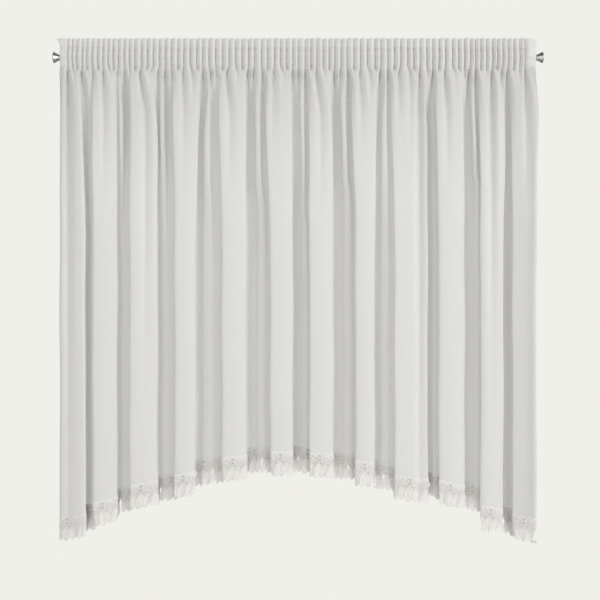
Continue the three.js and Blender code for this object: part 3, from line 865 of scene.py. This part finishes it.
def lace_ground():
    """Ground and footing as one closed strip, flat, and the painted shade of each of its points.

    Between two repeats it reaches further down on a front, and is slit where a hollow spreads it.
    """
    count = int(last_count) * GROUND_STEPS
    step = np.linspace(0, last_count, count + 1)
    x = np.interp(step, lace_counts, lace_places)
    top = FOOTING[0] + FOOTING[1] * np.abs(np.sin(3 * math.pi * step))
    aside = np.abs(step - np.round(step)) * REPEAT
    seam = np.interp(np.round(step), lace_counts, lace_places)
    shut = np.zeros(len(x), bool)
    for left, right in front_sides:
        shut |= (seam > left - FRONT_MARGIN[0]) & (seam < right + FRONT_MARGIN[1])
    gusset, slit = [height * np.exp(-((aside / half) ** 2)) for height, half in (GUSSET, SLIT)]
    low = GROUND_FOOT + np.where(shut, gusset, slit)
    points = []
    for along, high, deep in zip(x, top, low):
        points += [(along, height, high + (deep - high) * share) for share, height, grey in GROUND_SECTION]
    ground_shade_shares = [grey for share, height, grey in GROUND_SECTION] * (count + 1)
    return points, tube_faces(count + 1, len(GROUND_SECTION)), ground_shade_shares


def lace_thread(name):
    """Matt white embroidery with fine satin stitches; painted shade on the small spots of the flowers and
    on the ground.
    """
    material, tree, shader = new_material(name)
    set_inputs(tree, shader, {"Roughness": 0.78, "Specular IOR Level": 0.25, "Sheen Weight": 0.1})
    place = add_node(tree, "ShaderNodeTexCoord", {})["Object"]
    stitch = weave_wave(tree, place, "Z", {"Scale": 330.0, "Distortion": 2.2, "Detail": 1.0})
    uneven = add_node(tree, "ShaderNodeTexNoise", {"Vector": place, "Scale": 240.0, "Detail": 3.0})["Fac"]
    satin = maths(tree, "MULTIPLY", stitch, uneven)
    colour = mix_colours(tree, satin, *LACE_TONES)
    # Painted shade: each point's share of it mixes the colour towards the dark grey.
    painted_shade = add_node(tree, "ShaderNodeAttribute", {}, attribute_name="painted_shade")["Fac"]
    shade = mix_colours(tree, painted_shade, colour, PAINTED_SHADE_TONE)
    finish_cloth(tree, shader, shade, satin, bump=(0.35, 0.0003), glow=0.14)
    return material


def start_tree(name, kinds):
    """A new tree of geometry nodes that makes a piece, and its named inputs."""
    tree = bpy.data.node_groups.new(name, "GeometryNodeTree")
    for label, kind in kinds.items():
        tree.interface.new_socket(label, in_out="INPUT", socket_type="NodeSocket" + kind)
    tree.interface.new_socket("Piece", in_out="OUTPUT", socket_type="NodeSocketGeometry")
    return tree, tree.nodes.new("NodeGroupInput").outputs


def end_tree(tree, geometry, thread):
    """Makes the copies in a tree real, gives all of it its thread and ends the tree."""
    whole = add_node(tree, "GeometryNodeRealizeInstances", {"Geometry": geometry})["Geometry"]
    done = add_node(tree, "GeometryNodeSetMaterial", {"Geometry": whole, "Material": thread})
    add_node(tree, "NodeGroupOutput", {"Piece": done["Geometry"]})
    return tree


def source(tree, piece):
    """The geometry of an object that is given to a tree."""
    return add_node(tree, "GeometryNodeObjectInfo", {"Object": piece})["Geometry"]


def lace_tree(name):
    """Sets out petals and flowers on a flat strip and wraps all of it along a hanging edge."""
    tree, given = start_tree(name, {
        "Strip": "Geometry", "Repeat": "Object", "Flower spots": "Object", "Edge": "Object",
        "Lower edge": "Object", "Flat width": "Float", "Depth": "Float", "Curl": "Float",
        "Seed": "Int", "Thread": "Material",
    })

    def vectors(operation, first, second=None):
        """One step of vector arithmetic."""
        inputs = {0: first}
        if second is not None:
            inputs["Scale" if operation == "SCALE" else 1] = second
        return add_node(tree, "ShaderNodeVectorMath", inputs, operation=operation)["Vector"]

    def chance(low, high):
        """Random values that differ a little from one repeat to the next."""
        inputs = {"Min": low, "Max": high, "Seed": given["Seed"]}
        return add_node(tree, "FunctionNodeRandomValue", inputs, data_type="FLOAT_VECTOR")["Value"]

    flowers = source(tree, given["Flower spots"])
    wide = add_node(tree, "GeometryNodeInputNamedAttribute", {"Name": "wide"}, data_type="FLOAT")
    stretch = add_node(tree, "ShaderNodeCombineXYZ", {"X": wide["Attribute"], "Y": 1.0, "Z": 1.0})
    uneven = chance(*REPEAT_SCALES)
    copies = add_node(tree, "GeometryNodeInstanceOnPoints", {
        "Points": flowers, "Instance": source(tree, given["Repeat"]),
        "Scale": vectors("MULTIPLY", uneven, stretch["Vector"]),
        "Rotation": chance(*REPEAT_TURNS),
    })
    real = add_node(tree, "GeometryNodeRealizeInstances", {"Geometry": copies["Instances"]})
    both = tree.nodes.new("GeometryNodeJoinGeometry")
    for geometry in (given["Strip"], real["Geometry"]):
        set_inputs(tree, both, {"Geometry": geometry})
    where = add_node(tree, "GeometryNodeInputPosition", {})["Position"]
    flat = add_node(tree, "ShaderNodeSeparateXYZ", {"Vector": where})
    place = maths(tree, "DIVIDE", flat["X"], given["Flat width"])
    hem_spot, low_spot = [
        add_node(tree, "GeometryNodeSampleCurve", {
            "Curves": source(tree, given[label]), "Factor": place,
        }, mode="FACTOR")
        for label in ("Edge", "Lower edge")
    ]
    outward = vectors("NORMALIZE", vectors("CROSS_PRODUCT", hem_spot["Tangent"], (0, 0, 1)))
    along = add_node(tree, "ShaderNodeCombineXYZ", {"X": flat["X"]})["Vector"]
    ripple = add_node(tree, "ShaderNodeTexNoise", {"Vector": along, "Scale": 30.0, "Detail": 1.0})["Fac"]
    lean = maths(tree, "MULTIPLY", maths(tree, "SUBTRACT", ripple, 0.5), given["Curl"])
    share = maths(tree, "DIVIDE", flat["Z"], given["Depth"])
    bend = maths(tree, "MULTIPLY", share, share)
    lift = maths(tree, "ADD", flat["Y"], maths(tree, "MULTIPLY", lean, bend))
    swing = vectors("SUBTRACT", low_spot["Position"], hem_spot["Position"])
    hung = vectors("ADD", hem_spot["Position"], vectors("SCALE", swing, bend))
    hung = vectors("ADD", hung, vectors("SCALE", outward, lift))
    down = add_node(tree, "ShaderNodeCombineXYZ", {"Z": flat["Z"]})["Vector"]
    wrap = add_node(tree, "GeometryNodeSetPosition", {
        "Geometry": both.outputs["Geometry"], "Position": vectors("ADD", hung, down),
    })
    return end_tree(tree, wrap["Geometry"], given["Thread"])


def edge_curve(name, lines):
    """A curve through lines of points in millimetres, as a guide that is removed after use."""
    curve = bpy.data.curves.new(name, "CURVE")
    curve.dimensions = "3D"
    for points in lines:
        spline = curve.splines.new("POLY")
        spline.points.add(len(points) - 1)
        spline.points.foreach_set("co", np.column_stack([points * MM, np.ones(len(points))]).ravel())
    guide = bpy.data.objects.new(name, curve)
    bpy.context.scene.collection.objects.link(guide)
    return guide


def point_values(piece, name, values):
    """Keeps one number for each point of a piece."""
    kept = piece.data.attributes.new(name, "FLOAT", "POINT")
    kept.data.foreach_set("value", values)


def run_nodes(piece, tree, values, guides):
    """Runs a node tree on a piece, keeps the result as a plain mesh and removes the guides."""
    modifier = piece.modifiers.new(tree.name, "NODES")
    modifier.node_group = tree
    for item in tree.interface.items_tree:
        if item.in_out == "INPUT" and item.name in values:
            modifier[item.identifier] = values[item.name]
    keep_result(piece, modifier)
    for guide in guides:
        bpy.data.objects.remove(guide)


lace_white = lace_thread("lace thread")
hem_edge = edge_curve("hem edge", [hem_points])
low_points = hem_points.copy()
low_points[:, 1] -= LACE_STIFFNESS * (low_points[:, 1] + FRONT_LEVEL)
low_edge = edge_curve("low edge", [low_points])
repeat_points, repeat_faces, painted_darkness = lace_repeat()
repeat = mesh_piece("repeat", repeat_points, repeat_faces, lace_white)
# Painted shade on the small spots that stand for holes.
point_values(repeat, "painted_shade", painted_darkness)
repeat_ends = np.interp(np.arange(last_count + 1), lace_counts, lace_places)
flower_places = np.interp(np.arange(last_count) + 0.5, lace_counts, lace_places)
flower_spots = mesh_piece("flower spots", [(x, 0, 0) for x in flower_places], [], lace_white)
stretches = np.diff(repeat_ends) / REPEAT
stretches[[0, -1]] *= END_REPEAT
point_values(flower_spots, "wide", stretches)
ground_points, ground_faces, ground_shade_shares = lace_ground()
lace = mesh_piece("lace", ground_points, ground_faces, lace_white)
# Painted shade on the ground below its footing, none on the footing.
point_values(lace, "painted_shade", [NET_SHADE * grey for grey in ground_shade_shares])
run_nodes(lace, lace_tree("lace along the hem"), {
    "Repeat": repeat, "Flower spots": flower_spots, "Edge": hem_edge, "Lower edge": low_edge,
    "Flat width": CLOTH_WIDTH * MM, "Depth": LACE_HEIGHT * MM, "Curl": LACE_CURL, "Seed": LACE_SEED,
    "Thread": lace_white,
}, [repeat, flower_spots, hem_edge, low_edge])
lace.data.set_sharp_from_angle(angle=math.radians(LACE_CRISP))
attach(lace, "root")
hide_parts("lace_edge")

# Stitches.
# Rows of white thread: two that sew the tape on above and below the rod, one down each side hem
# and one along the footing of the lace. Each stitch is a short thick bead of thread.
STITCH_PITCH = 7.0
STITCH_LENGTH = 4.2
STITCH_THICK = 0.65
STITCH_SIDES = 6
STITCH_RINGS = [(-0.5, 0.45), (-0.28, 1.0), (0.28, 1.0), (0.5, 0.45)]  # shares of length, thickness
HEADING_ROWS = (27.0, -23.0)
HEM_STITCHES = (HEM_COLUMNS - 2, 1 - HEM_COLUMNS)  # columns of the voile, from the left and right
STITCH_PROUD = 0.5  # how far the rows lie in front of the middle of the cloth
LACE_STITCH = 1.5  # the same on the lace, and how far its row lies below the hem


def stitch_bead():
    """One stitch along Z, thinner at both ends where it goes into the cloth."""
    points = []
    for along, thick in STITCH_RINGS:
        for s in range(STITCH_SIDES):
            turn = 2 * math.pi * s / STITCH_SIDES
            radius = STITCH_THICK * thick
            points.append((radius * math.cos(turn), radius * math.sin(turn), STITCH_LENGTH * along))
    return points, tube_faces(len(STITCH_RINGS), STITCH_SIDES)


def stitch_tree(name):
    """Sets a stitch at even steps along lines."""
    tree, given = start_tree(name, {
        "Start": "Geometry", "Lines": "Object", "Stitch": "Object", "Pitch": "Float",
        "Thread": "Material",
    })
    steps = add_node(tree, "GeometryNodeCurveToPoints", {
        "Curve": source(tree, given["Lines"]), "Length": given["Pitch"],
    }, mode="LENGTH")
    copies = add_node(tree, "GeometryNodeInstanceOnPoints", {
        "Points": steps["Points"], "Rotation": steps["Rotation"],
        "Instance": source(tree, given["Stitch"]),
    })
    return end_tree(tree, copies["Instances"], given["Thread"])


stitch_lines = [set_back(voile_row(voile_across, level), -STITCH_PROUD) for level in HEADING_ROWS]
stitch_lines += [set_back(grid[hem_top:], -STITCH_PROUD)[:, column] for column in HEM_STITCHES]
stitch_lines.append(set_back(hem_points, -LACE_STITCH) + np.array([0.0, 0.0, -LACE_STITCH]))
bead = mesh_piece("stitch", *stitch_bead(), lace_white)
stitch_guide = edge_curve("stitch lines", stitch_lines)
stitches = mesh_piece("stitches", [(0.0, 0.0, 0.0)], [], lace_white)
run_nodes(stitches, stitch_tree("stitches along lines"), {
    "Lines": stitch_guide, "Stitch": bead, "Pitch": STITCH_PITCH * MM, "Thread": lace_white,
}, [bead, stitch_guide])
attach(stitches, "root")

# Floor, light and camera.
# A plain pale floor far below the rod, an even pale studio with one large soft light from the
# right of the room, and a camera square to the curtain.
FLOOR_SIZE = 3.4
FLOOR_HEIGHT = -2.25
FLOOR_TONE = (0.8, 0.79, 0.76, 1)
WALL_COLOUR = (0.871, 0.863, 0.823, 1)
LIGHT_COLOUR = (1.0, 0.992, 0.965, 1)
LIGHT_LEVELS = (0.685, 0.91)  # of the studio, from its left to its right
MIRRORED_BANDS = [  # what the plate mirrors, from straight down (0) to straight up (1), and how light
    (0.0, 0.015), (0.05, 0.08), (0.15, 0.06), (0.22, 0.6), (0.50, 0.9), (0.72, 0.8), (0.79, 0.05),
    (0.87, 0.05), (0.92, 0.15), (0.97, 0.1), (0.99, 0.02), (1.0, 0.015),
]
MIRRORED_SIDES = {  # how light the bands are in front and far aside
    "From Min": 0.84, "From Max": 0.94, "To Min": 1.3, "To Max": 0.08,
}
CLEAR_LAYERS = 24  # layers of sheer cloth that a ray may pass
KEY_PLACE = (8.5, -7.8, 1.4)
KEY_TARGET = (0, 0, -0.75)
KEY_SIZE = (4.6, 6.3)
KEY_POWER = 395
CAMERA_PLACE = (0.006, -3.85, -0.772)
CAMERA_LENS = 72.5
CAMERA_SENSOR = 36

bpy.ops.mesh.primitive_grid_add(
    size=FLOOR_SIZE, x_subdivisions=2, y_subdivisions=2, location=(0, 0, FLOOR_HEIGHT))
floor = bpy.context.object
floor.name = "floor"
floor_paint, floor_tree, floor_shader = new_material("pale floor")
set_inputs(floor_tree, floor_shader, {"Base Color": FLOOR_TONE, "Roughness": 0.9})
floor.data.materials.append(floor_paint)
floor.visible_glossy = False

scene = bpy.context.scene
scene.view_settings.view_transform = "Standard"
scene.cycles.transparent_max_bounces = CLEAR_LAYERS
world = bpy.data.worlds.new("studio")
scene.world = world
world.use_nodes = True
studio = world.node_tree
studio.nodes.clear()
seen = add_node(studio, "ShaderNodeBackground", {"Color": WALL_COLOUR})["Background"]
way = add_node(studio, "ShaderNodeTexCoord", {})["Generated"]
towards = add_node(studio, "ShaderNodeSeparateXYZ", {"Vector": way})
level = add_node(studio, "ShaderNodeMapRange", {
    "Value": towards["X"], "From Min": -1.0, "To Min": LIGHT_LEVELS[0], "To Max": LIGHT_LEVELS[1],
})["Result"]
shed = add_node(studio, "ShaderNodeBackground", {"Color": LIGHT_COLOUR, "Strength": level})["Background"]
up = add_node(studio, "ShaderNodeMapRange", {"Value": towards["Z"], "From Min": -1.0})["Result"]
stripes = add_ramp(studio, up, [(place, (grey, grey, grey)) for place, grey in MIRRORED_BANDS])
aside = maths(studio, "ABSOLUTE", towards["X"])
sides = add_node(studio, "ShaderNodeMapRange", {"Value": aside, **MIRRORED_SIDES})["Result"]
mirrored = add_node(studio, "ShaderNodeBackground", {"Color": stripes, "Strength": sides})["Background"]
ray = add_node(studio, "ShaderNodeLightPath", {})
unseen = mix_shaders(studio, ray["Is Glossy Ray"], shed, mirrored)
all_round = mix_shaders(studio, ray["Is Camera Ray"], unseen, seen)
add_node(studio, "ShaderNodeOutputWorld", {"Surface": all_round})

key = bpy.data.lights.new("key", "AREA")
key.shape = "RECTANGLE"
key.size, key.size_y = KEY_SIZE
key.energy = KEY_POWER
key_light = bpy.data.objects.new("key", key)
key_light.location = KEY_PLACE
towards_curtain = Vector(KEY_TARGET) - Vector(KEY_PLACE)
key_light.rotation_euler = towards_curtain.to_track_quat("-Z", "Y").to_euler()
scene.collection.objects.link(key_light)

camera_data = bpy.data.cameras.new("camera")
camera_data.lens = CAMERA_LENS
camera_data.sensor_width = CAMERA_SENSOR
camera = bpy.data.objects.new("camera", camera_data)
camera.location = CAMERA_PLACE
camera.rotation_euler = (math.radians(90), 0, 0)
scene.collection.objects.link(camera)
scene.camera = camera
